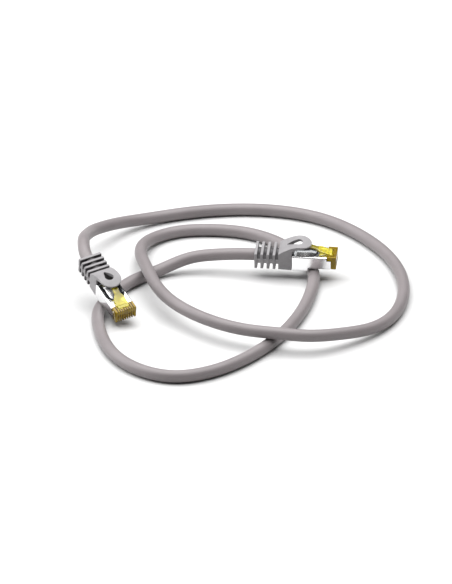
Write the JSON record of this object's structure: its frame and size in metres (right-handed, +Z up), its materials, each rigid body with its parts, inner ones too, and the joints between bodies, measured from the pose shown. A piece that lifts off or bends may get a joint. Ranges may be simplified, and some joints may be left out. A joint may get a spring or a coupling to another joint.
{
  "type": "ethernet patch cable",
  "caption": "Shielded network patch cable lying in two loose loops, with a latching modular plug, a ribbed boot and a thumb ring at each end.",
  "frame": {"origin": "on the table, under the middle of the whole cable as it lies", "axes": "+Z up from the table, +Y the longer way across the loops (away from the viewer), +X the shorter way across, towards the nose of plug b"},
  "size_m": [0.1758, 0.2133, 0.0267],
  "materials": {
    "jacket": "satin grey PVC jacket, slightly warm",
    "boot": "matte moulded grey thermoplastic rubber",
    "clear_amber": "polished clear amber polycarbonate",
    "latch_amber": "polished clear yellow polycarbonate",
    "shell_metal": "bright nickel-plated sheet, fine brushed grain",
    "ferrule_metal": "plain crimped sheet",
    "contact_gold": "gold-plated, bright",
    "comb_plastic": "moulded natural nylon",
    "braid": "tinned copper braid",
    "pair_foil": "aluminium foil wrap"
  },
  "bodies": {
    "root": {"cable_jacket": "jacket", "plug_housing_a": "clear_amber", "shield_shell_a": "shell_metal", "load_bar_a": "comb_plastic", "crimp_ferrule_a": "ferrule_metal", "shield_braid_a": "braid", "boot_a": "boot", "contact_1_a": "contact_gold", "contact_2_a": "contact_gold", "contact_3_a": "contact_gold", "contact_4_a": "contact_gold", "contact_5_a": "contact_gold", "contact_6_a": "contact_gold", "contact_7_a": "contact_gold", "contact_8_a": "contact_gold", "wire_pair_1_a": "pair_foil", "wire_pair_2_a": "pair_foil", "wire_pair_3_a": "pair_foil", "wire_pair_4_a": "pair_foil", "plug_housing_b": "clear_amber", "shield_shell_b": "shell_metal", "load_bar_b": "comb_plastic", "crimp_ferrule_b": "ferrule_metal", "shield_braid_b": "braid", "boot_b": "boot", "contact_1_b": "contact_gold", "contact_2_b": "contact_gold", "contact_3_b": "contact_gold", "contact_4_b": "contact_gold", "contact_5_b": "contact_gold", "contact_6_b": "contact_gold", "contact_7_b": "contact_gold", "contact_8_b": "contact_gold", "wire_pair_1_b": "pair_foil", "wire_pair_2_b": "pair_foil", "wire_pair_3_b": "pair_foil", "wire_pair_4_b": "pair_foil"},
    "thumb_ring_a": {"thumb_ring_a": "boot"},
    "latch_a": {"latch_a": "latch_amber"},
    "thumb_ring_b": {"thumb_ring_b": "boot"},
    "latch_b": {"latch_b": "latch_amber"}
  },
  "joints": [
    {"name": "thumb_ring_a_press", "type": "hinge", "parent": "root", "child": "thumb_ring_a", "pos_m": [-0.07247, -0.01758, 0.021], "axis": [0.8899, 0.44, 0.1201], "range_deg": [0, 16], "stiffness_Nm_per_rad": 0.2},
    {"name": "latch_a_press", "type": "hinge", "parent": "root", "child": "latch_a", "pos_m": [-0.06197, -0.03598, 0.01067], "axis": [-0.8899, -0.44, -0.1201], "range_deg": [0, 13.6]},
    {"name": "thumb_ring_b_press", "type": "hinge", "parent": "root", "child": "thumb_ring_b", "pos_m": [0.02405, 0.02381, 0.01785], "axis": [0.1073, 0.9747, 0.1959], "range_deg": [0, 16], "stiffness_Nm_per_rad": 0.2},
    {"name": "latch_b_press", "type": "hinge", "parent": "root", "child": "latch_b", "pos_m": [0.04739, 0.02216, 0.01489], "axis": [-0.1081, -0.989, -0.1011], "range_deg": [0, 13.6]}
  ],
  "couplings": [
    {"joint": "latch_a_press", "follows": "thumb_ring_a_press", "ratio": 0.84},
    {"joint": "latch_b_press", "follows": "thumb_ring_b_press", "ratio": 0.84}
  ]
}
